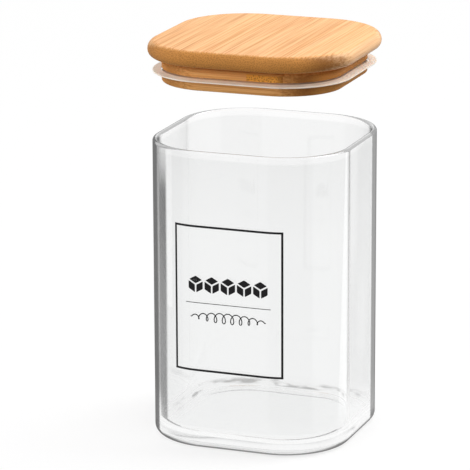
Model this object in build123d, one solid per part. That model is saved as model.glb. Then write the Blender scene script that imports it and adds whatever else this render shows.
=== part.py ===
from build123d import *
from math import cos, radians, sin
import os

# A square glass storage jar with a lift-off bamboo lid, in millimetres.
# The origin is the middle of the base, +Z is up, and the printed front faces -Y.
# The lid is modelled where it is held: level, straight above the open jar.

# Outlines: every piece is a square with round corners, and all corner arcs
# share four centres, so each outline is an even offset of the others.
corner_centre = 17.0

# Glass jar
jar_width = 100.0
jar_height = 149.0
glass_wall = 2.8
glass_floor = 5.0
rim_round_height = 1.5
base_edge_radius = 4.0
floor_edge_radius = 6.0
dish_width = 78.0
dish_slope_width = 3.0
dish_depth = 0.8

# Lid
lid_lift = 40.5
board_width = 104.0
board_thickness = 8.0
board_top_radius = 4.2
board_bottom_radius = 3.5
plug_width = 90.4
plug_depth = 12.0
plug_edge_chamfer = 0.7

# Sealing ring, and the groove round the plug that holds it
groove_depth = 2.0
groove_height = 2.4
groove_below_board = 5.3
lip_reach = 4.5
lip_root_thickness = 1.1
lip_tip_thickness = 0.7
lip_droop = 0.3

# Straight steps that each small round is drawn in: an odd number keeps a flat in its middle
rim_steps = 7
floor_edge_steps = 3
board_bottom_steps = 3
lip_tip_steps = 3

# Sizes that follow from those above
lid_base = jar_height + lid_lift
lid_top = lid_base + board_thickness
plug_base = lid_base - plug_depth
groove_top = lid_base - groove_below_board
groove_width = plug_width - 2 * groove_depth


def outline(width):
    """The square with round corners that all pieces share, at the given width."""
    return RectangleRounded(width, width, width / 2 - corner_centre)


def block(width, bottom, top):
    """An upright block with the shared outline, from one height to another."""
    return Pos(0, 0, bottom) * extrude(outline(width), top - bottom)


def stepped_round(middle, reach, height, start, stop, steps):
    """Points along a small round in even straight steps, from one angle to another."""
    angles = [radians(start + (stop - start) * step / steps) for step in range(steps + 1)]
    return [(middle[0] + reach * cos(a), middle[1] + height * sin(a)) for a in angles]


def swept_round(section, width):
    """A section, drawn as distance from the middle against height, swept round an outline."""
    return sweep(Plane.XZ * make_face(section), outline(width).wire())


def base_dish():
    """The shallow hollow under the base, so that the jar stands on a flat ring."""
    mouth = Pos(0, 0, -dish_depth) * outline(dish_width + 2 * dish_slope_width)
    roof = Pos(0, 0, dish_depth) * outline(dish_width - 2 * dish_slope_width)
    return loft([mouth, roof])


def glass_jar():
    """One blown wall with a round rim and base edge, on a thick floor with a soft inner edge."""
    outside = jar_width / 2
    inside = outside - glass_wall
    foot_reach = outside - base_edge_radius
    floor_reach = inside - floor_edge_radius
    rim_foot = jar_height - rim_round_height
    rim_middle = (outside - glass_wall / 2, rim_foot)
    # The middle step is the flat top, so the round is taller by what that step cuts off.
    rim_height = rim_round_height / cos(radians(90 / rim_steps))
    rim = stepped_round(rim_middle, glass_wall / 2, rim_height, 0, 180, rim_steps)
    floor_edge = stepped_round(
        (floor_reach, glass_floor + floor_edge_radius),
        floor_edge_radius,
        floor_edge_radius,
        0,
        -90,
        floor_edge_steps,
    )
    faces = Polyline(
        (outside, base_edge_radius),
        *rim,
        *floor_edge,
        (floor_reach, 0),
        (foot_reach, 0),
    )
    base_edge = CenterArc((foot_reach, base_edge_radius), base_edge_radius, -90, 90)
    wall = swept_round(faces + base_edge, 2 * floor_reach)
    return wall + block(2 * floor_reach, 0, glass_floor) - base_dish()


def lid_board():
    """The bamboo board on top: a full soft edge swept round a level core."""
    edge = board_width / 2
    top_reach = edge - board_top_radius
    core_reach = top_reach - board_top_radius
    top_middle = lid_top - board_top_radius
    bottom_edge = stepped_round(
        (edge - board_bottom_radius, lid_base + board_bottom_radius),
        board_bottom_radius,
        board_bottom_radius,
        -90,
        0,
        board_bottom_steps,
    )
    faces = Polyline(
        (top_reach, lid_top),
        (core_reach, lid_top),
        (core_reach, lid_base),
        *bottom_edge,
        (edge, top_middle),
    )
    top_edge = CenterArc((top_reach, top_middle), board_top_radius, 0, 90)
    soft_edge = swept_round(faces + top_edge, 2 * core_reach)
    return soft_edge + block(2 * core_reach, lid_base, lid_top)


def lid_plug():
    """The bamboo board glued underneath, grooved for the ring, that drops into the mouth."""
    plug = block(plug_width, plug_base, lid_base)
    plug = chamfer(plug.edges().group_by(Axis.Z)[0], plug_edge_chamfer)
    groove = block(board_width, groove_top - groove_height, groove_top)
    groove -= block(groove_width, groove_top - groove_height, groove_top)
    return plug - groove


def sealing_ring():
    """One moulded silicone ring: a band in the groove and a thin drooping lip with a round tip."""
    band_inside = groove_width / 2
    band_outside = plug_width / 2
    band_bottom = groove_top - groove_height
    middle = groove_top - groove_height / 2
    tip_half = lip_tip_thickness / 2
    tip_middle = (band_outside + lip_reach - tip_half, middle - lip_droop)
    tip = stepped_round(tip_middle, tip_half, tip_half, -90, 90, lip_tip_steps)
    section = Polyline(
        *tip,
        (band_outside, middle + lip_root_thickness / 2),
        (band_outside, groove_top),
        (band_inside, groove_top),
        (band_inside, band_bottom),
        (band_outside, band_bottom),
        (band_outside, middle - lip_root_thickness / 2),
        close=True,
    )
    return swept_round(section, groove_width)


os.makedirs("parts", exist_ok=True)

pieces = {
    "glass_jar": glass_jar(),
    "lid_board": lid_board(),
    "lid_plug": lid_plug(),
    "sealing_ring": sealing_ring(),
}

for name, shape in pieces.items():
    export_step(shape, f"parts/{name}.step")
    print(name, "volume", round(shape.volume), "mm3")
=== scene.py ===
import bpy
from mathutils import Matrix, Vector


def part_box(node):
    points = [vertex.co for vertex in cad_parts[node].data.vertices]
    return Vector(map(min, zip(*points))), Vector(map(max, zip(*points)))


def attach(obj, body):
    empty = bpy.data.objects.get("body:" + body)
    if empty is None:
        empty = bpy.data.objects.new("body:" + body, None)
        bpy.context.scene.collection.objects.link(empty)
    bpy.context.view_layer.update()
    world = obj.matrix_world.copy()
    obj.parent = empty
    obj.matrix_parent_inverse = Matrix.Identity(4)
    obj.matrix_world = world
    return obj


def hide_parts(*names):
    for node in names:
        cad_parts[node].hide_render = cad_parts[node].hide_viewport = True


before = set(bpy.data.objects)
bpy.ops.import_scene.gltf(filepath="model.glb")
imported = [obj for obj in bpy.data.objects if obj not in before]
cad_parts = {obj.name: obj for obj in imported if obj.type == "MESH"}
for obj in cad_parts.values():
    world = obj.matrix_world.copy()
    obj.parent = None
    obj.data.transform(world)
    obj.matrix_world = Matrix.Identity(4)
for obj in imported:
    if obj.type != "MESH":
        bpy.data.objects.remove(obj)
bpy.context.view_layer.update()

import math

import bmesh
import bpy
from mathutils import Matrix, Vector

# The jar: one piece of clear glass blown into a square mould, so its four walls are flat and
# its corners round. The rim is fire-polished, the floor is thicker than the walls, and a
# shallow hollow under the base leaves a flat ring to stand on.
CORNER_CENTRE = 0.017
CORNER_SEGMENTS = 28
GLASS_WALL = 0.0028
GLASS_FLOOR = 0.005
RIM_ROUND = 0.00139
BASE_EDGE_ROUND = 0.004
FLOOR_EDGE_ROUND = 0.006
FOOT_RING_WIDTH = 0.007
DISH_SLOPE = 0.003
DISH_DEPTH = 0.0008
TINY = 1e-6


def start_block(name, low, high):
    """A cube from corner to corner, left in edit mode with nothing selected."""
    bpy.ops.object.select_all(action="DESELECT")
    bpy.ops.mesh.primitive_cube_add(size=1, location=(low + high) / 2, scale=high - low)
    piece = bpy.context.object
    piece.name = piece.data.name = name
    bpy.ops.object.transform_apply(location=True, rotation=True, scale=True)
    bpy.ops.object.mode_set(mode="EDIT")
    bpy.ops.mesh.select_all(action="DESELECT")
    return piece


def pick_faces(piece, test):
    """Selects only the faces whose middle and normal pass the test."""
    bpy.ops.mesh.select_mode(type="FACE")
    bpy.ops.mesh.select_all(action="DESELECT")
    mesh = bmesh.from_edit_mesh(piece.data)
    for face in mesh.faces:
        face.select_set(test(face.calc_center_median(), face.normal))
    bmesh.update_edit_mesh(piece.data)


def pick_edges(piece, test):
    """Selects only the edges whose two ends and two face normals pass the test."""
    bpy.ops.mesh.select_mode(type="EDGE")
    bpy.ops.mesh.select_all(action="DESELECT")
    mesh = bmesh.from_edit_mesh(piece.data)
    for edge in mesh.edges:
        first, second = edge.verts
        normals = [face.normal for face in edge.link_faces]
        edge.select_set(test(first.co, second.co, normals))
    bmesh.update_edit_mesh(piece.data)


def round_edges(radius, segments):
    """Rounds the selected edges off."""
    bpy.ops.mesh.bevel(offset=radius, offset_type="OFFSET", segments=segments, profile=0.5)


def round_upright_corners(piece, radius):
    """Rounds the four upright edges of a block about the shared corner centres."""
    pick_edges(piece, lambda a, b, normals: abs(a.z - b.z) > TINY)
    round_edges(radius, CORNER_SEGMENTS)


def pick_level_loop(piece, height):
    """Selects the edges at one height where a level face meets an upright one."""
    def on_loop(a, b, normals):
        level = abs(a.z - height) < TINY and abs(b.z - height) < TINY
        turns = {abs(normal.z) > 0.5 for normal in normals}
        return level and len(turns) == 2
    pick_edges(piece, on_loop)


def finish_mesh(piece):
    """Leaves edit mode and shades the piece smooth, with its flat faces kept flat."""
    bpy.ops.mesh.select_all(action="SELECT")
    bpy.ops.mesh.remove_doubles(threshold=TINY)
    bpy.ops.mesh.normals_make_consistent(inside=False)
    bpy.ops.object.mode_set(mode="OBJECT")
    bpy.ops.object.shade_smooth()
    weighted = piece.modifiers.new("flat faces kept flat", "WEIGHTED_NORMAL")
    weighted.weight = 100
    bpy.ops.object.modifier_apply(modifier=weighted.name)


jar_low, jar_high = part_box("glass_jar")
jar_low, jar_high = Vector(jar_low), Vector(jar_high)
jar_reach = jar_high.x
rim_height = jar_high.z

jar = start_block("jar_glass", jar_low, jar_high)
round_upright_corners(jar, jar_reach - CORNER_CENTRE)
pick_faces(jar, lambda middle, normal: normal.z > 0.9)
bpy.ops.mesh.inset(thickness=GLASS_WALL)
hollow = {"value": (0, 0, GLASS_FLOOR - rim_height)}
bpy.ops.mesh.extrude_region_move(TRANSFORM_OT_translate=hollow)
pick_level_loop(jar, rim_height)
round_edges(RIM_ROUND, segments=6)
pick_level_loop(jar, GLASS_FLOOR)
round_edges(FLOOR_EDGE_ROUND, segments=10)
pick_level_loop(jar, 0)
round_edges(BASE_EDGE_ROUND, segments=8)
pick_faces(jar, lambda middle, normal: abs(middle.z) < TINY)
bpy.ops.mesh.inset(thickness=FOOT_RING_WIDTH)
bpy.ops.mesh.inset(thickness=DISH_SLOPE, depth=-DISH_DEPTH)
finish_mesh(jar)
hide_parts("glass_jar")
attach(jar, "jar")


def new_material(name):
    """A material with a fresh tree, its output and a Principled shader."""
    material = bpy.data.materials.new(name)
    material.use_nodes = True
    tree = material.node_tree
    tree.nodes.clear()
    output = tree.nodes.new("ShaderNodeOutputMaterial")
    shader = tree.nodes.new("ShaderNodeBsdfPrincipled")
    tree.links.new(shader.outputs[0], output.inputs["Surface"])
    return material, tree, shader, output


def feed(tree, socket, value):
    """Gives an input a plain value, or links another node's socket to it."""
    if isinstance(value, bpy.types.NodeSocket):
        tree.links.new(value, socket)
    else:
        socket.default_value = value


def add_node(tree, kind, settings=None, **inputs):
    """A node with its settings and its inputs, which are named, or numbered as i0, i1 and so on."""
    node = tree.nodes.new("ShaderNode" + kind)
    for name, value in (settings or {}).items():
        setattr(node, name, value)
    for name, value in inputs.items():
        key = int(name[1:]) if name[1:].isdigit() else name.replace("_", " ")
        feed(tree, node.inputs[key], value)
    return node


def maths(tree, operation, a, b=0.0, c=0.0):
    """The value of one Math node."""
    return add_node(tree, "Math", {"operation": operation}, i0=a, i1=b, i2=c).outputs[0]


def product(tree, first, *others):
    """The given values multiplied together."""
    for other in others:
        first = maths(tree, "MULTIPLY", first, other)
    return first


def largest(tree, first, *others):
    """The largest of the given values."""
    for other in others:
        first = maths(tree, "MAXIMUM", first, other)
    return first


def vector_maths(tree, operation, **inputs):
    """The outputs of one Vector Math node."""
    return add_node(tree, "VectorMath", {"operation": operation}, **inputs).outputs


def ramp(tree, value, start, stop, low=0.0, high=1.0):
    """A value eased from low to high as the input goes from start to stop."""
    node = add_node(
        tree,
        "MapRange",
        {"interpolation_type": "SMOOTHSTEP"},
        Value=value,
        From_Min=start,
        From_Max=stop,
        To_Min=low,
        To_Max=high,
    )
    return node.outputs[0]


def grey(level):
    """A plain grey, from 0 for black to 1 for white."""
    return (level, level, level, 1)


def mixed_colour(tree, factor, a, b, blend="MIX"):
    """The colour of one Mix node."""
    node = add_node(tree, "Mix", {"data_type": "RGBA", "blend_type": blend}, i0=factor, i6=a, i7=b)
    return node.outputs[2]


def mixed_shader(tree, factor, a, b):
    """A Mix Shader node: the first shader where the factor is 0, the second where it is 1."""
    return add_node(tree, "MixShader", i0=factor, i1=a.outputs[0], i2=b.outputs[0])


def distance_out(tree, place):
    """How far a point lies outside the square of the four corner centres, whatever its height."""
    beyond = vector_maths(tree, "ABSOLUTE", i0=place)[0]
    beyond = vector_maths(tree, "SUBTRACT", i0=beyond, i1=(CORNER_CENTRE, CORNER_CENTRE, 1))[0]
    beyond = vector_maths(tree, "MAXIMUM", i0=beyond, i1=(0, 0, 0))[0]
    return vector_maths(tree, "LENGTH", i0=beyond)["Value"]


glass, tree, shader, output = new_material("clear_glass")
shader.inputs["IOR"].default_value = 1.5
shader.inputs["Transmission Weight"].default_value = 1.0
shader.inputs["Metallic"].default_value = 0.0
place = add_node(tree, "TexCoord").outputs["Object"]
side_x, side_y, height = add_node(tree, "SeparateXYZ", Vector=place).outputs
path = add_node(tree, "LightPath")
leaving = add_node(tree, "NewGeometry").outputs["Backfacing"]
entering = maths(tree, "SUBTRACT", 1.0, leaving)

# The walls swell a little, as blown glass does, and the melted rim and base edge are duller.
drawn_up = add_node(tree, "Mapping", i0=place, Scale=(1, 1, 0.35)).outputs[0]
swell = add_node(tree, "TexNoise", Vector=drawn_up, Scale=26.0, Detail=1.0).outputs[0]
wave = add_node(tree, "Bump", Height=swell, Strength=0.12, Distance=0.002)
tree.links.new(wave.outputs[0], shader.inputs["Normal"])
smudge = add_node(tree, "TexNoise", Vector=place, Scale=60.0, Detail=4.0).outputs[0]
polish = ramp(tree, smudge, 0.45, 0.75, 0.0, 0.003)
rim_melt = ramp(tree, height, rim_height - 0.0018, rim_height - 0.0012, 0.0, 0.03)
base_melt = ramp(tree, height, 0.002, BASE_EDGE_ROUND, 0.05, 0.0)
polish = maths(tree, "ADD", polish, maths(tree, "ADD", rim_melt, base_melt))
tree.links.new(polish, shader.inputs["Roughness"])

# Its colour: nearly white, slightly greyer near the top, and white in a band under the rim, which is a
# painted highlight.
tint = mixed_colour(tree, smudge, (0.950, 0.954, 0.953, 1), (0.958, 0.961, 0.960, 1))
tint = mixed_colour(tree, ramp(tree, height, 0.1, 0.13), tint, (0.927, 0.930, 0.929, 1))
painted_rim_highlight = ramp(tree, height, rim_height - 0.0042, rim_height - 0.0032)
tint = mixed_colour(tree, painted_rim_highlight, tint, grey(1))

# How nearly edge-on a point is seen. Side-on leaves out how far the eye looks up or down, so
# that a steep view of a wall doesn't count as its edge.
edge_on = add_node(tree, "LayerWeight", Blend=0.5).outputs["Facing"]
straight_up = add_node(tree, "CombineXYZ", Z=1.0).outputs[0]
level_look = add_node(tree, "LayerWeight", Blend=0.5, Normal=straight_up).outputs["Facing"]
steepness = maths(tree, "SUBTRACT", 1.0, level_look)
level_share = maths(tree, "MULTIPLY_ADD", steepness, maths(tree, "MULTIPLY", steepness, -1.0), 1.0)
level_share = maths(tree, "SQRT", maths(tree, "MAXIMUM", level_share, 0.01))
face_on = maths(tree, "DIVIDE", maths(tree, "SUBTRACT", 1.0, edge_on), level_share)
side_on = maths(tree, "SUBTRACT", 1.0, face_on)

# Where a point is: on the wall's inner or outer skin, and how far along towards a corner.
wall_outside = jar_reach - CORNER_CENTRE
skin_depth = distance_out(tree, place)
inner_skin = ramp(
    tree, skin_depth, wall_outside - GLASS_WALL * 0.6, wall_outside - GLASS_WALL * 0.4, 1.0, 0.0
)
outer_skin = maths(tree, "SUBTRACT", 1.0, inner_skin)
to_corner = maths(tree, "MINIMUM", maths(tree, "ABSOLUTE", side_x), maths(tree, "ABSOLUTE", side_y))
on_left = ramp(tree, side_x, -0.02, 0.02, 1.0, 0.0)
on_right = maths(tree, "SUBTRACT", 1.0, on_left)

# Painted dark streaks in the glass's colour at the soft edge between the walls and the floor, standing in
# for the dark surroundings bent round it.
drawn_out = add_node(tree, "Mapping", i0=place, Scale=(1, 1, 6)).outputs[0]
streaks = add_node(tree, "TexNoise", Vector=drawn_out, Scale=55.0, Detail=2.0).outputs[0]
painted_floor_streaks = product(
    tree,
    ramp(tree, height, 0.0051, 0.0056),
    ramp(tree, height, 0.0066, 0.0085, 1.0, 0.0),
    ramp(tree, streaks, 0.47, 0.6, 0.05, 0.8),
    inner_skin,
)
tint = mixed_colour(tree, painted_floor_streaks, tint, grey(0.1))

# Painted shade: the thick foot's colour darkens where it is seen nearly side-on.
foot_shade = product(
    tree,
    ramp(tree, height, BASE_EDGE_ROUND, 0.018, 1.0, 0.0),
    ramp(tree, side_on, 0.69, 0.895),
    entering,
    outer_skin,
    0.85,
)
tint = mixed_colour(tree, foot_shade, tint, grey(0.06))

# A painted dark band in the near corners' colour stands in for the dark studio that they
# bend into view, from a little above the floor up to the rim.
corner_start = ramp(tree, to_corner, CORNER_CENTRE + 0.0055, CORNER_CENTRE + 0.0070)
corner_middle = ramp(tree, to_corner, CORNER_CENTRE + 0.009, CORNER_CENTRE + 0.0105)
corner_shade = product(
    tree,
    largest(
        tree,
        product(tree, corner_start, ramp(tree, side_on, 0.212, 0.2245)),
        product(tree, corner_middle, ramp(tree, side_on, 0.1725, 0.193)),
    ),
    leaving,
    ramp(tree, height, 0.0065, 0.009),
    ramp(tree, height, 0.125, rim_height, 1.0, 0.3),
    inner_skin,
    maths(tree, "LESS_THAN", path.outputs["Transmission Depth"], 1.5),
)
corner_dark = mixed_colour(tree, ramp(tree, height, 0.05, 0.12), grey(0.1), grey(0.04))
tint = mixed_colour(tree, corner_shade, tint, corner_dark)
tree.links.new(tint, shader.inputs["Base Color"])

# Shadow rays and bounced light pass straight through, a little dimmed, and a ray that has
# been turned about in the glass more than five times meets a painted glow, dimmer towards the rim.
dimming = mixed_colour(tree, ramp(tree, edge_on, 0.3, 1.0), grey(0.9), grey(0.5))
let_through = add_node(tree, "BsdfTransparent", Color=dimming)
unseen = largest(tree, path.outputs["Is Shadow Ray"], path.outputs["Is Diffuse Ray"])
surface = mixed_shader(tree, unseen, shader, let_through)
far_inside = maths(tree, "GREATER_THAN", path.outputs["Ray Depth"], 5.5)
painted_glow_level = ramp(tree, height, rim_height - 0.045, rim_height - 0.015, 0.95, 0.5)
painted_glow = add_node(tree, "Emission", Color=grey(1), Strength=painted_glow_level)
surface = mixed_shader(tree, far_inside, surface, painted_glow)

# A painted dark outline, an emission seen only by the eye, stands in for the dark edges of clear
# glass on white: down its sides, stronger round the two corners that make its left and right
# side as the camera sees it, and along the base's round edge.
side_line = ramp(tree, side_on, 0.679, 0.865, 0.0, 0.85)
under_line = product(
    tree,
    ramp(tree, height, 0.0025, BASE_EDGE_ROUND, 1.0, 0.0),
    ramp(tree, edge_on, 0.3, 0.62, 0.0, 0.95),
)
corner_line = product(
    tree,
    largest(
        tree,
        product(tree, ramp(tree, side_on, 0.607, 0.69, 0.0, 0.95), on_left),
        product(tree, ramp(tree, side_on, 0.576, 0.627, 0.0, 0.9), on_right),
    ),
    ramp(tree, to_corner, CORNER_CENTRE - 0.0028, CORNER_CENTRE - 0.0012),
    maths(tree, "GREATER_THAN", maths(tree, "MULTIPLY", side_x, side_y), 0.0),
    outer_skin,
)
outline = product(
    tree, largest(tree, side_line, corner_line, under_line), path.outputs["Is Camera Ray"], entering
)
darkest = largest(tree, ramp(tree, side_on, 0.772, 0.917), ramp(tree, height, 0.008, 0.004))
right_grey = mixed_colour(tree, darkest, grey(0.36), grey(0.19))
line_grey = mixed_colour(tree, on_left, right_grey, grey(0.165))
painted_dark_outline = add_node(tree, "Emission", Color=line_grey, Strength=1.0)
surface = mixed_shader(tree, outline, surface, painted_dark_outline)
tree.links.new(surface.outputs[0], output.inputs["Surface"])
jar.data.materials.append(glass)

# The lid's board: strips of bamboo glued side by side and planed to 8 mm, cut to a rounded
# square a little wider than the jar, with a full soft edge sanded all round and a satin oil.
# The strips run from front to back, so the front and back edges show their cut ends.
BOARD_TOP_ROUND = 0.0042
BOARD_BOTTOM_ROUND = 0.0035
STRIP_WIDTH = 0.0185

board_low, board_high = (Vector(corner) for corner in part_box("lid_board"))

board = start_block("lid_board_bamboo", board_low, board_high)
round_upright_corners(board, board_high.x - CORNER_CENTRE)
pick_level_loop(board, board_high.z)
round_edges(BOARD_TOP_ROUND, segments=8)
pick_level_loop(board, board_low.z)
round_edges(BOARD_BOTTOM_ROUND, segments=8)
finish_mesh(board)
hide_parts("lid_board")
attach(board, "lid")

LAYER_STAGGER = 0.37
GRAIN_SHIFT = 0.31
BUNDLES_PER_METRE = 1250.0
BUNDLE_CORE = 0.16
BUNDLE_EDGE = 0.42
KNUCKLES_PER_METRE = 5.2
bamboo_grain = bpy.data.node_groups.new("bamboo_grain", "ShaderNodeTree")
for name, kind, start in (
    ("Vector", "NodeSocketVector", None),
    ("Strip Width", "NodeSocketFloat", STRIP_WIDTH),
    ("Layer Height", "NodeSocketFloat", 0.02),
    ("Layer Base", "NodeSocketFloat", 0.0),
    ("Seed", "NodeSocketFloat", 0.0),
):
    socket = bamboo_grain.interface.new_socket(name, in_out="INPUT", socket_type=kind)
    if start is not None:
        socket.default_value = start
for name in ("Tone", "Streak", "Broad", "Bundle", "Dots", "Joint", "Knuckle"):
    bamboo_grain.interface.new_socket(name, in_out="OUTPUT", socket_type="NodeSocketFloat")
tree = bamboo_grain
given = tree.nodes.new("NodeGroupInput").outputs
made = tree.nodes.new("NodeGroupOutput").inputs

# Which strip and layer a point is in: each has its own tone, and its own cut of the grain.
x, y, z = add_node(tree, "SeparateXYZ", Vector=given["Vector"]).outputs
layer_place = maths(tree, "DIVIDE", maths(tree, "SUBTRACT", z, given["Layer Base"]), given["Layer Height"])
layer = maths(tree, "FLOOR", layer_place)
across = maths(tree, "DIVIDE", x, given["Strip Width"])
across = maths(tree, "ADD", across, maths(tree, "MULTIPLY", layer, LAYER_STAGGER))
across = maths(tree, "ADD", across, given["Seed"])
strip = maths(tree, "FLOOR", across)
within = maths(tree, "FRACT", across)
cell = add_node(tree, "CombineXYZ", X=strip, Y=layer, Z=given["Seed"]).outputs[0]
chance = add_node(tree, "TexWhiteNoise", Vector=cell)
tree.links.new(chance.outputs["Value"], made["Tone"])
shift = vector_maths(tree, "SCALE", i0=chance.outputs["Color"], Scale=GRAIN_SHIFT)[0]
own_place = vector_maths(tree, "ADD", i0=given["Vector"], i1=shift)[0]

# Long fine streaks, broad soft ones, and the dark fibre bundles, as lines and end-on as dots.
long_fine = add_node(tree, "Mapping", i0=own_place, Scale=(1, 0.009, 1)).outputs[0]
streak = add_node(tree, "TexNoise", Vector=long_fine, Scale=1400.0, Detail=3.0, Roughness=0.6)
tree.links.new(streak.outputs[0], made["Streak"])
long_broad = add_node(tree, "Mapping", i0=own_place, Scale=(1, 0.05, 1)).outputs[0]
broad = add_node(tree, "TexNoise", Vector=long_broad, Scale=260.0, Detail=2.0)
tree.links.new(broad.outputs[0], made["Broad"])
columns = add_node(tree, "Mapping", i0=own_place, Scale=(1, 0.012, 1)).outputs[0]
line = add_node(tree, "TexVoronoi", Vector=columns, Scale=BUNDLES_PER_METRE, Randomness=0.85)
bundle = ramp(tree, line.outputs["Distance"], BUNDLE_CORE, BUNDLE_EDGE, 1.0, 0.0)
tree.links.new(bundle, made["Bundle"])
laid_flat = add_node(tree, "Mapping", i0=own_place, Rotation=(-math.pi / 2, 0, 0)).outputs[0]
dot = add_node(
    tree,
    "TexVoronoi",
    {"voronoi_dimensions": "2D"},
    Vector=laid_flat,
    Scale=BUNDLES_PER_METRE,
    Randomness=0.75,
)
dots = ramp(tree, dot.outputs["Distance"], BUNDLE_CORE, BUNDLE_EDGE, 1.0, 0.0)
tree.links.new(dots, made["Dots"])

# The glue line between two strips, and the knuckle that each strip has every so often.
to_side = maths(tree, "MINIMUM", within, maths(tree, "SUBTRACT", 1.0, within))
tree.links.new(ramp(tree, to_side, 0.004, 0.014, 1.0, 0.0), made["Joint"])
first_knuckle = maths(tree, "MULTIPLY", chance.outputs["Value"], 7.3)
along = maths(tree, "MULTIPLY_ADD", y, KNUCKLES_PER_METRE, first_knuckle)
wobble = add_node(tree, "TexNoise", Vector=own_place, Scale=180.0, Detail=2.0).outputs[0]
along = maths(tree, "MULTIPLY_ADD", wobble, 0.016, along)
from_knuckle = maths(tree, "ABSOLUTE", maths(tree, "SUBTRACT", maths(tree, "FRACT", along), 0.5))
tree.links.new(ramp(tree, from_knuckle, 0.002, 0.014, 1.0, 0.0), made["Knuckle"])


def place_grain(tree, vector, sizes):
    """The grain group placed in a material, fed with a vector and the material's own sizes."""
    grain = tree.nodes.new("ShaderNodeGroup")
    grain.node_tree = bamboo_grain
    tree.links.new(vector, grain.inputs["Vector"])
    for name, value in sizes.items():
        grain.inputs[name].default_value = value
    return grain.outputs


def slanted_cut_and_shade(tree, end_on, facing_z, right_hand):
    """Where a round corner cuts the strips at a slant and darkens them, partly the real oblique cut and
    partly painted shade, which is laid on most on the right-hand side.
    """
    upright = maths(tree, "MULTIPLY_ADD", facing_z, maths(tree, "MULTIPLY", facing_z, -1.0), 1.0)
    level_share = maths(tree, "SQRT", maths(tree, "MAXIMUM", upright, 0.1))
    end_on = maths(tree, "DIVIDE", end_on, level_share)
    return product(
        tree,
        ramp(tree, end_on, 0.1, 0.32),
        ramp(tree, end_on, 0.94, 0.6),
        ramp(tree, right_hand, 0.0, 0.03, 0.35, 0.9),
        ramp(tree, upright, 0.08, 0.3),
    )


def bamboo_finish(name, grain_sizes, quarter_turn, speck, sheen, pale, deep, end_patch=None):
    """Oiled bamboo: pale long grain, and darker speckled ends where the strips are cut across.

    The strips run along Y, or along X after a quarter turn. An end patch is a strip whose cut
    end faces the front: its left and right side, and the height that it starts at."""
    material, tree, shader, output = new_material(name)
    coordinates = add_node(tree, "TexCoord")
    place = coordinates.outputs["Object"]
    side_x, side_y, height = add_node(tree, "SeparateXYZ", Vector=place).outputs
    normal = coordinates.outputs["Normal"]
    facing_x, facing_y, facing_z = add_node(tree, "SeparateXYZ", Vector=normal).outputs
    facing_end, facing_side = (facing_x, facing_y) if quarter_turn else (facing_y, facing_x)
    turned = add_node(tree, "Mapping", i0=place, Rotation=(0, 0, math.pi / 2 * quarter_turn)).outputs[0]
    tone, streak, broad, bundle, dot, joint, knuckle = place_grain(tree, turned, grain_sizes)

    ragged = maths(tree, "MULTIPLY_ADD", streak, 0.4, -0.2)
    end_on = maths(tree, "ABSOLUTE", facing_end)
    cut_end = ramp(tree, maths(tree, "ADD", end_on, ragged), 0.03, 0.6)
    end_pale = PALE_END
    dots = maths(tree, "MULTIPLY", dot, speck)
    if end_patch:
        patch_left, patch_right, patch_base = end_patch
        patch = product(
            tree,
            maths(tree, "GREATER_THAN", side_x, patch_left),
            maths(tree, "LESS_THAN", side_x, patch_right),
            maths(tree, "GREATER_THAN", height, patch_base),
            ramp(tree, facing_y, -0.35, -0.85),
        )
        coarser = add_node(tree, "Mapping", i0=place, Scale=(0.75, 0.75, 0.75)).outputs[0]
        patch_dots = place_grain(tree, coarser, {})["Dots"]
        cut_end = largest(tree, cut_end, patch)
        dots = largest(tree, product(tree, patch_dots, 0.7, patch), dots)
        end_pale = mixed_colour(tree, patch, PALE_END, PATCH_GOLD)

    long_grain = mixed_colour(tree, ramp(tree, streak, 0.42, 0.68), pale, deep)
    bundle_line = maths(tree, "MULTIPLY", bundle, 0.35)
    long_grain = mixed_colour(tree, bundle_line, long_grain, deep, "MULTIPLY")
    # Painted sheen: the long-grain sides pale towards a sheen colour where they face sideways.
    painted_sheen = ramp(tree, maths(tree, "ABSOLUTE", facing_side), 0.25, 0.7, 0.0, sheen)
    long_grain = mixed_colour(tree, painted_sheen, long_grain, PAINTED_SHEEN)
    end_grain = mixed_colour(tree, dots, end_pale, DEEP_END)
    # Partly real and partly painted shade: the cut ends darken where a round corner slants across them.
    speckled_slant_and_shade = mixed_colour(tree, maths(tree, "MULTIPLY", dot, 0.35), SLANT_END_AND_SHADE, DEEP_END)
    slant_and_shade = slanted_cut_and_shade(tree, end_on, facing_z, maths(tree, "MULTIPLY_ADD", ragged, 0.1, side_x))
    end_grain = mixed_colour(tree, slant_and_shade, end_grain, speckled_slant_and_shade)
    colour = mixed_colour(tree, cut_end, long_grain, end_grain)

    strip_shade = maths(tree, "MULTIPLY_ADD", tone, 0.13, 0.86)
    strip_shade = maths(tree, "MULTIPLY_ADD", broad, 0.14, strip_shade)
    shade = add_node(tree, "CombineColor", i0=strip_shade, i1=strip_shade, i2=strip_shade).outputs[0]
    colour = mixed_colour(tree, 1.0, colour, shade, "MULTIPLY")
    dark = largest(tree, maths(tree, "MULTIPLY", joint, 0.16), maths(tree, "MULTIPLY", knuckle, 0.05))
    colour = mixed_colour(tree, dark, colour, GLUE_LINE)
    tree.links.new(colour, shader.inputs["Base Color"])

    dull = maths(tree, "MULTIPLY_ADD", cut_end, 0.2, 0.36)
    tree.links.new(maths(tree, "MULTIPLY_ADD", streak, 0.2, dull), shader.inputs["Roughness"])
    relief = maths(tree, "MULTIPLY_ADD", bundle, -0.5, maths(tree, "MULTIPLY", streak, 0.6))
    relief = maths(tree, "MULTIPLY_ADD", joint, -0.8, relief)
    bump = add_node(tree, "Bump", Height=relief, Strength=0.35, Distance=0.00012)
    tree.links.new(bump.outputs[0], shader.inputs["Normal"])
    shader.inputs["Specular IOR Level"].default_value = 0.22
    return material


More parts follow.
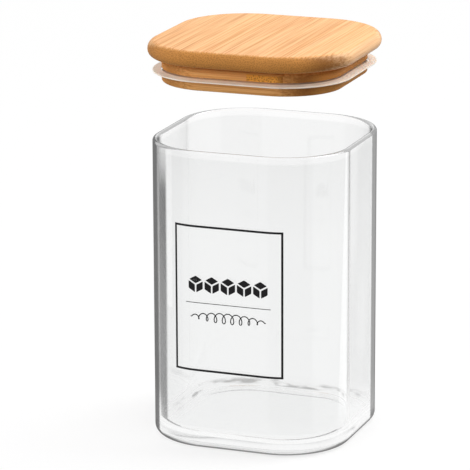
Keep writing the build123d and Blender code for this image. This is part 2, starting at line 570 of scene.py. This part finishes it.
PALE_BAMBOO = (0.90, 0.505, 0.225, 1)
DEEP_BAMBOO = (0.66, 0.29, 0.088, 1)
PAINTED_SHEEN = (0.96, 0.68, 0.42, 1)
PALE_END = (0.54, 0.232, 0.052, 1)
DEEP_END = (0.14, 0.05, 0.01, 1)
SLANT_END_AND_SHADE = (0.27, 0.105, 0.021, 1)
PATCH_GOLD = (0.85, 0.38, 0.06, 1)
GLUE_LINE = (0.24, 0.11, 0.035, 1)
board_bamboo = bamboo_finish(
    "bamboo_board",
    {"Layer Height": 0.05, "Layer Base": board_low.z - 0.01, "Seed": 0.31},
    quarter_turn=False,
    speck=0.42,
    sheen=0.3,
    pale=PALE_BAMBOO,
    deep=DEEP_BAMBOO,
)
board.data.materials.append(board_bamboo)

# The lid's plug: a smaller bamboo board glued under the first, which drops into the jar's
# mouth. It is built up of two layers, and a groove cut round its sides holds the ring.
GROOVE_DEPTH = 0.002
GROOVE_HEIGHT = 0.0024
GROOVE_BELOW_BOARD = 0.0053
PLUG_EDGE_ROUND = 0.0009

plug_low, plug_high = (Vector(corner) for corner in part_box("lid_plug"))
groove_top = plug_high.z - GROOVE_BELOW_BOARD
groove_bottom = groove_top - GROOVE_HEIGHT

plug = start_block("lid_plug_bamboo", plug_low, plug_high)
round_upright_corners(plug, plug_high.x - CORNER_CENTRE)
for cut_height in (groove_bottom, groove_top):
    bpy.ops.mesh.select_all(action="SELECT")
    bpy.ops.mesh.bisect(plane_co=(0, 0, cut_height), plane_no=(0, 0, 1))
pick_faces(
    plug,
    lambda middle, normal: abs(normal.z) < 0.5 and groove_bottom < middle.z < groove_top,
)
bpy.ops.mesh.extrude_region_shrink_fatten(TRANSFORM_OT_shrink_fatten={"value": -GROOVE_DEPTH})
pick_level_loop(plug, plug_low.z)
round_edges(PLUG_EDGE_ROUND, segments=4)
finish_mesh(plug)
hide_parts("lid_plug")
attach(plug, "lid")

# The plug's bamboo colours are darker, more saturated copies of the board's, with painted shade in them.
SHADED_PALE = (0.84, 0.43, 0.145, 1)
SHADED_DEEP = (0.60, 0.26, 0.07, 1)
PATCH_LEFT = 0.007
PATCH_RIGHT = 0.025
plug_bamboo = bamboo_finish(
    "bamboo_plug",
    {"Layer Height": 0.0066, "Layer Base": plug_low.z, "Seed": 0.62},
    quarter_turn=True,
    speck=0.2,
    sheen=0.0,
    pale=SHADED_PALE,
    deep=SHADED_DEEP,
    end_patch=(PATCH_LEFT, PATCH_RIGHT, groove_top),
)
plug.data.materials.append(plug_bamboo)

# The sealing ring: one moulded loop of milky silicone. Its band sits in the plug's groove,
# and its thin lip stands out past the mouth, so that it folds up and seals when pushed in.
LIP_ROOT_THICKNESS = 0.0011
LIP_TIP_THICKNESS = 0.0007
LIP_DROOP = 0.0003
LIP_TIP_ROUND = 0.000315

ring_high = Vector(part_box("sealing_ring")[1])
band_reach = plug_high.x
band_middle = (groove_top + groove_bottom) / 2
lip_reach = ring_high.x - band_reach

ring = start_block(
    "sealing_ring_silicone",
    Vector((-band_reach, -band_reach, groove_bottom)),
    Vector((band_reach, band_reach, groove_top)),
)
round_upright_corners(ring, band_reach - CORNER_CENTRE)
for cut_height in (band_middle - LIP_ROOT_THICKNESS / 2, band_middle + LIP_ROOT_THICKNESS / 2):
    bpy.ops.mesh.select_all(action="SELECT")
    bpy.ops.mesh.bisect(plane_co=(0, 0, cut_height), plane_no=(0, 0, 1))
pick_faces(ring, lambda middle, normal: abs(normal.z) > 0.5)
bpy.ops.mesh.inset(thickness=GROOVE_DEPTH)
bpy.ops.mesh.bridge_edge_loops(type="PAIRS")
pick_faces(
    ring,
    lambda middle, normal: abs(normal.z) < 0.5
    and abs(middle.z - band_middle) < LIP_ROOT_THICKNESS / 3
    and normal.dot(Vector((middle.x, middle.y, 0))) > 0,
)
bpy.ops.mesh.extrude_region_shrink_fatten(TRANSFORM_OT_shrink_fatten={"value": lip_reach})
bpy.ops.transform.resize(value=(1, 1, LIP_TIP_THICKNESS / LIP_ROOT_THICKNESS))
bpy.ops.transform.translate(value=(0, 0, -LIP_DROOP))
bpy.ops.mesh.region_to_loop()
round_edges(LIP_TIP_ROUND, segments=3)
finish_mesh(ring)
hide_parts("sealing_ring")
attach(ring, "lid")

silicone, tree, shader, output = new_material("milky_silicone")
place = add_node(tree, "TexCoord").outputs["Object"]
cloud = add_node(tree, "TexNoise", Vector=place, Scale=120.0, Detail=3.0).outputs[0]
milk = mixed_colour(tree, cloud, (0.99, 0.84, 0.71, 1), (1.0, 0.90, 0.80, 1))
tree.links.new(milk, shader.inputs["Base Color"])
tree.links.new(ramp(tree, cloud, 0.3, 0.7, 0.4, 0.52), shader.inputs["Roughness"])
lip_root = band_reach - CORNER_CENTRE
on_lip = ramp(tree, distance_out(tree, place), lip_root, lip_root + 0.0008, 0.25, 1.0)
milkiness = ramp(tree, cloud, 0.3, 0.7, 0.80, 0.88)
tree.links.new(maths(tree, "MULTIPLY", milkiness, on_lip), shader.inputs["Alpha"])
shader.inputs["IOR"].default_value = 1.41
shader.inputs["Specular IOR Level"].default_value = 0.25
shader.inputs["Subsurface Weight"].default_value = 0.3
shader.inputs["Subsurface Radius"].default_value = (0.0015, 0.0012, 0.001)
ring.data.materials.append(silicone)

# The print on the front wall: black enamel ink laid on the glass through a screen and fired.
# A thin frame holds a row of sugar cubes, a hairline rule and a row of small loops.
PRINT_WIDTH = 0.0556
PRINT_HEIGHT = 0.0731
PRINT_SIDE = -0.0010
PRINT_MIDDLE = 0.0762
FRAME_LINE = 0.00105
INK_THICKNESS = 0.00006
START_GAP = 0.001


def start_sheet(name, width, height, middle_height):
    """An upright flat sheet in front of the jar, left in edit mode."""
    bpy.ops.object.select_all(action="DESELECT")
    bpy.ops.mesh.primitive_plane_add(
        size=1, location=(0, -jar_reach - START_GAP, middle_height), rotation=(math.pi / 2, 0, 0)
    )
    sheet = bpy.context.object
    sheet.name = sheet.data.name = name
    sheet.scale = (width, height, 1)
    bpy.ops.object.transform_apply(location=True, rotation=True, scale=True)
    bpy.ops.object.mode_set(mode="EDIT")
    return sheet


def lay_on_glass(sheet):
    """Presses a flat sheet back onto the front wall and its corners, and gives it its thickness."""
    bpy.ops.mesh.select_all(action="SELECT")
    bpy.ops.transform.translate(value=(PRINT_SIDE, 0, 0))
    bpy.ops.object.mode_set(mode="OBJECT")
    press = sheet.modifiers.new("pressed on the wall", "SHRINKWRAP")
    press.target = jar
    press.wrap_method = "PROJECT"
    press.use_project_x = press.use_project_z = False
    press.use_project_y = True
    press.use_positive_direction = True
    press.use_negative_direction = True
    press.offset = INK_THICKNESS
    bpy.ops.object.modifier_apply(modifier=press.name)
    thick = sheet.modifiers.new("ink thickness", "SOLIDIFY")
    thick.thickness = INK_THICKNESS
    thick.offset = -1
    bpy.ops.object.modifier_apply(modifier=thick.name)
    sheet.data.materials.append(ink)
    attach(sheet, "jar")


ink, tree, shader, output = new_material("black_enamel_ink")
place = add_node(tree, "TexCoord").outputs["Object"]
mottle = add_node(tree, "TexNoise", Vector=place, Scale=900.0, Detail=2.0).outputs[0]
black = mixed_colour(tree, mottle, (0.006, 0.006, 0.007, 1), (0.016, 0.015, 0.016, 1))
tree.links.new(black, shader.inputs["Base Color"])
tree.links.new(ramp(tree, mottle, 0.3, 0.7, 0.5, 0.65), shader.inputs["Roughness"])
shader.inputs["Specular IOR Level"].default_value = 0.15

print_frame = start_sheet("print_frame", PRINT_WIDTH, PRINT_HEIGHT, PRINT_MIDDLE)
bpy.ops.mesh.inset(thickness=FRAME_LINE)
bpy.ops.mesh.delete(type="FACE")
bpy.ops.mesh.select_all(action="SELECT")
bpy.ops.mesh.subdivide(number_cuts=14)
lay_on_glass(print_frame)

CUBE_COUNT = 5
CUBE_RADIUS = 0.0047
CUBE_SPACING = 0.0083
CUBE_GAP = 0.00075
CUBES_MIDDLE = 0.0834
bpy.ops.object.select_all(action="DESELECT")
first_cube = (-CUBE_SPACING * (CUBE_COUNT - 1) / 2, -jar_reach - START_GAP, CUBES_MIDDLE)
bpy.ops.mesh.primitive_circle_add(
    vertices=6, radius=CUBE_RADIUS, fill_type="TRIFAN", location=first_cube, rotation=(math.pi / 2, 0, 0)
)
print_cubes = bpy.context.object
print_cubes.name = print_cubes.data.name = "print_sugar_cubes"
bpy.ops.object.transform_apply(location=True, rotation=True, scale=True)
bpy.ops.object.mode_set(mode="EDIT")


def spoke_inside_a_face(a, b, normals):
    """The three spokes of the hexagon that a cube seen from its corner doesn't have."""
    tip = max(a, b, key=lambda end: (end - Vector(first_cube)).length) - Vector(first_cube)
    inner = min((a - Vector(first_cube)).length, (b - Vector(first_cube)).length)
    turn = round(math.degrees(math.atan2(tip.z, tip.x))) % 120
    return inner < 1e-5 and turn == 90


pick_edges(print_cubes, spoke_inside_a_face)
bpy.ops.mesh.dissolve_edges()
bpy.ops.mesh.select_mode(type="FACE")
bpy.ops.mesh.select_all(action="SELECT")
bpy.ops.mesh.inset(thickness=CUBE_GAP / 2, use_individual=True)
bpy.ops.mesh.select_all(action="INVERT")
bpy.ops.mesh.delete(type="FACE")
bpy.ops.mesh.select_all(action="SELECT")
bpy.ops.mesh.bevel(offset=CUBE_GAP / 2, segments=2, affect="VERTICES")
for copy in range(CUBE_COUNT - 1):
    bpy.ops.mesh.duplicate_move(TRANSFORM_OT_translate={"value": (CUBE_SPACING, 0, 0)})
lay_on_glass(print_cubes)

RULE_WIDTH = 0.0436
RULE_LINE = 0.00034
RULE_MIDDLE = 0.0742
print_rule = start_sheet("print_rule", RULE_WIDTH, RULE_LINE, RULE_MIDDLE)
pick_edges(print_rule, lambda a, b, normals: abs(a.z - b.z) < TINY)
bpy.ops.mesh.subdivide(number_cuts=20)
lay_on_glass(print_rule)

LOOPS_WIDTH = 0.0385
LOOPS_MIDDLE = 0.0674
LOOP_COUNT = 9
LOOP_HEIGHT = 0.0026
LOOP_LINE = 0.00052
LOOP_SWAY = 0.42
LOOP_TAPER = 0.6
print_loops = start_sheet("print_loops", LOOPS_WIDTH, LOOP_LINE, LOOPS_MIDDLE)
pick_edges(print_loops, lambda a, b, normals: abs(a.z - b.z) < TINY)
bpy.ops.mesh.subdivide(number_cuts=LOOP_COUNT * 24)
bpy.ops.object.mode_set(mode="OBJECT")


def loop_point(share):
    """A point of the looping line, which is small at both ends and full in its middle."""
    turn = share * LOOP_COUNT * 2 * math.pi
    fullness = math.sin(math.pi * share) ** LOOP_TAPER
    sway = LOOPS_WIDTH / LOOP_COUNT * LOOP_SWAY * fullness
    return Vector((
        (share - 0.5) * LOOPS_WIDTH - sway * math.sin(turn),
        0,
        -LOOP_HEIGHT * fullness * math.cos(turn),
    ))


for vertex in print_loops.data.vertices:
    share = vertex.co.x / LOOPS_WIDTH + 0.5
    step = loop_point(min(share + 0.0005, 1)) - loop_point(max(share - 0.0005, 0))
    beside = Vector((-step.z, 0, step.x)).normalized()
    offset = vertex.co.z - LOOPS_MIDDLE
    spot = loop_point(share) + beside * offset
    vertex.co = Vector((spot.x, vertex.co.y, spot.z + LOOPS_MIDDLE))
bpy.ops.object.mode_set(mode="EDIT")
lay_on_glass(print_loops)

# Where the jar stands: a pale floor that runs on without an edge into a white background.
# Near the jar it takes some shade, and it lies a hair under the foot, so that the two faces
# aren't in one plane.
FLOOR_REACH = 3.0
FLOOR_DROP = 0.0001
SHADE_FADES_FROM = 0.058
SHADE_FADES_TO = 0.16
bpy.ops.object.select_all(action="DESELECT")
bpy.ops.mesh.primitive_plane_add(size=2 * FLOOR_REACH, location=(0, 0, -FLOOR_DROP))
floor = bpy.context.object
floor.name = "floor"
paper, tree, shader, output = new_material("pale_floor")
shader.inputs["Roughness"].default_value = 0.9
shader.inputs["Specular IOR Level"].default_value = 0.0
place = add_node(tree, "TexCoord").outputs["Object"]
away = vector_maths(tree, "LENGTH", i0=place)["Value"]
fleck = add_node(tree, "TexNoise", Vector=place, Scale=300.0).outputs[0]
paint = mixed_colour(tree, fleck, grey(0.90), grey(0.92))
path = add_node(tree, "LightPath")
# Bounced light sees the floor as a dark grey, a painted shade that leaves the lid's underside darker.
paint = mixed_colour(tree, path.outputs["Is Diffuse Ray"], paint, grey(0.22))
tree.links.new(paint, shader.inputs["Base Color"])
seen = largest(tree, path.outputs["Is Camera Ray"], path.outputs["Is Transmission Ray"])
mirrored = maths(tree, "GREATER_THAN", path.outputs["Glossy Depth"], 0.5)
inside_glass = maths(tree, "GREATER_THAN", path.outputs["Transmission Depth"], 0.5)
fade = largest(tree, ramp(tree, away, SHADE_FADES_FROM, SHADE_FADES_TO, 0.5, 0.97), inside_glass)
fade = product(tree, fade, largest(tree, seen, mirrored))
glow = add_node(tree, "Emission", Color=grey(1), Strength=1.0)
faded = mixed_shader(tree, fade, shader, glow)
gone = maths(tree, "MULTIPLY", mirrored, ramp(tree, away, 0.065, 0.12))
clear = add_node(tree, "BsdfTransparent", Color=grey(1))
open_floor = mixed_shader(tree, gone, faded, clear)
tree.links.new(open_floor.outputs[0], output.inputs["Surface"])
floor.data.materials.append(paper)

# The studio: a white surround that the eye sees straight or through the glass, a soft one
# that lights the rest, and a grey one for what is mirrored. Low down, the inside of the glass
# mirrors a ring of dark and pale cards instead, each a heading in degrees and a grey level.
MIRRORED_GREY = grey(0.85)
CARD_LEVELS = (
    (-179, 0.17), (-115, 0.17), (-110, 0.9), (-20, 0.9), (-15, 0.17), (50, 0.17), (55, 0.42),
    (59, 0.42), (64, 0.17), (126, 0.17), (131, 0.7), (164, 0.7), (169, 0.17), (179, 0.17),
)
world = bpy.data.worlds.new("studio")
bpy.context.scene.world = world
world.use_nodes = True
tree = world.node_tree
tree.nodes.clear()
path = add_node(tree, "LightPath")
direct = largest(tree, path.outputs["Is Camera Ray"], path.outputs["Is Transmission Ray"])
mirrored = maths(tree, "GREATER_THAN", path.outputs["Glossy Depth"], 0.5)
inside_glass = maths(tree, "GREATER_THAN", path.outputs["Transmission Depth"], 0.5)
heading = add_node(tree, "TexCoord").outputs["Generated"]
heading_x, heading_y, rise = add_node(tree, "SeparateXYZ", Vector=heading).outputs
downward = ramp(tree, rise, -0.02, 0.05, 1.0, 0.0)
few_surfaces = maths(tree, "LESS_THAN", path.outputs["Transmission Depth"], 3.5)
cards_show = product(tree, inside_glass, few_surfaces, downward)
turn = maths(tree, "ARCTAN2", maths(tree, "MULTIPLY", heading_x, -1.0), heading_y)
turn = maths(tree, "MULTIPLY_ADD", turn, 0.5 / math.pi, 0.5)
ring_of_cards = add_node(tree, "ValToRGB", Fac=turn)
stops = ring_of_cards.color_ramp.elements
for degrees, level in CARD_LEVELS:
    stop = stops.new(degrees / 360 + 0.5)
    stop.color = grey(level)
stops.remove(stops[0])
stops.remove(stops[-1])
card = mixed_colour(tree, cards_show, MIRRORED_GREY, ring_of_cards.outputs[0])
overhead = ramp(tree, rise, -0.1, 0.9)
lighting = mixed_colour(tree, overhead, grey(0.46), grey(0.85))
surround = mixed_colour(tree, direct, lighting, grey(1))
surround = mixed_colour(tree, mirrored, surround, card)
background = add_node(tree, "Background", Color=surround, Strength=1.0)
world_output = tree.nodes.new("ShaderNodeOutputWorld")
tree.links.new(background.outputs[0], world_output.inputs["Surface"])

# Two white cards stand beside the jar, and the outside of the glass mirrors them as soft
# bright bands. They show in nothing but reflections.
CARD_DISTANCE = 0.35
CARD_BRIGHTNESS = 1.9

white_card, tree, shader, output = new_material("white_card")
shine = add_node(tree, "Emission", Color=grey(1), Strength=CARD_BRIGHTNESS)
path = add_node(tree, "LightPath")
first_look = maths(tree, "LESS_THAN", path.outputs["Transmission Depth"], 0.5)
clear = add_node(tree, "BsdfTransparent", Color=grey(1))
seen_once = mixed_shader(tree, first_look, clear, shine)
tree.links.new(seen_once.outputs[0], output.inputs["Surface"])


def add_card(name, heading, corners):
    """A white card that faces the jar from a heading; its corners are (along, height)."""
    bpy.ops.object.select_all(action="DESELECT")
    bpy.ops.mesh.primitive_plane_add(size=1, location=(0, 0, 0))
    card = bpy.context.object
    card.name = card.data.name = name
    outward = Vector((-math.sin(heading), math.cos(heading), 0))
    sideways = Vector((math.cos(heading), math.sin(heading), 0))
    order = [card.data.vertices[i] for i in (0, 1, 3, 2)]
    for vertex, (along, height) in zip(order, corners):
        vertex.co = outward * CARD_DISTANCE + sideways * along + Vector((0, 0, height))
    card.visible_camera = card.visible_diffuse = False
    card.visible_transmission = card.visible_shadow = False
    card.data.materials.append(white_card)


left_corners = ((-0.04, -0.02), (0.04, -0.02), (0.05, 0.12), (-0.04, 0.12))
right_corners = ((-0.09, -0.2), (0.14, -0.2), (-0.06, 0.08), (-0.09, 0.08))
add_card("left_card", math.radians(108), left_corners)
add_card("right_card", math.radians(-58), right_corners)

# The light: one large soft lamp high up behind the jar's right side, which lights the lid's
# top, and two weak ones at the left and in front, which nothing mirrors.
lid_middle = (0, 0, board_low.z)


def add_softbox(name, location, target, width, height, power):
    """An area lamp turned to face a point, and never seen through the glass."""
    bpy.ops.object.light_add(type="AREA", location=location)
    lamp = bpy.context.object
    lamp.name = name
    lamp.data.shape = "RECTANGLE"
    lamp.data.size = width
    lamp.data.size_y = height
    lamp.data.energy = power
    lamp.visible_transmission = False
    aim = Vector(target) - Vector(location)
    lamp.rotation_euler = aim.to_track_quat("-Z", "Y").to_euler()
    return lamp


add_softbox("key_softbox", (0.7, 0.5, 1.0), lid_middle, width=0.9, height=0.9, power=10.6)
left_softbox = add_softbox(
    "left_softbox", (-0.9, -0.2, 0.45), (0, 0, 0.12), width=0.4, height=0.9, power=3.3
)
front_softbox = add_softbox(
    "front_softbox", (-0.35, -1.3, 0.3), (0, 0, 0.15), width=0.8, height=0.5, power=4.6
)
left_softbox.visible_glossy = front_softbox.visible_glossy = False

# The camera stands where the photograph was taken from: a long lens in front of the jar,
# a little to its right and above it.
PHOTO_SIDE_PIXELS = 470
FOCAL_LENGTH_PIXELS = 3277
CAMERA_AZIMUTH = math.radians(20.6)
CAMERA_ELEVATION = math.radians(15.0)
CAMERA_ROLL = math.radians(0.23)
CAMERA_DISTANCE = 1.6
RIM_RIGHT_OF_CENTRE = 0.015
RIM_ABOVE_CENTRE = 0.0503
right = Vector((math.cos(CAMERA_AZIMUTH), math.sin(CAMERA_AZIMUTH), 0))
back = Vector((
    math.sin(CAMERA_AZIMUTH) * math.cos(CAMERA_ELEVATION),
    -math.cos(CAMERA_AZIMUTH) * math.cos(CAMERA_ELEVATION),
    math.sin(CAMERA_ELEVATION),
))
up = back.cross(right)
picture_centre = Vector((0, 0, rim_height)) - right * RIM_RIGHT_OF_CENTRE - up * RIM_ABOVE_CENTRE
bpy.ops.object.camera_add()
camera = bpy.context.object
camera.name = "camera"
camera.data.sensor_width = 36.0
camera.data.lens = FOCAL_LENGTH_PIXELS / PHOTO_SIDE_PIXELS * camera.data.sensor_width
rolled_right = right * math.cos(CAMERA_ROLL) - up * math.sin(CAMERA_ROLL)
rolled_up = back.cross(rolled_right)
turned = Matrix((rolled_right, rolled_up, back)).transposed().to_4x4()
camera.matrix_world = Matrix.Translation(picture_centre + back * CAMERA_DISTANCE) @ turned
bpy.context.scene.camera = camera
bpy.context.scene.view_settings.view_transform = "Standard"
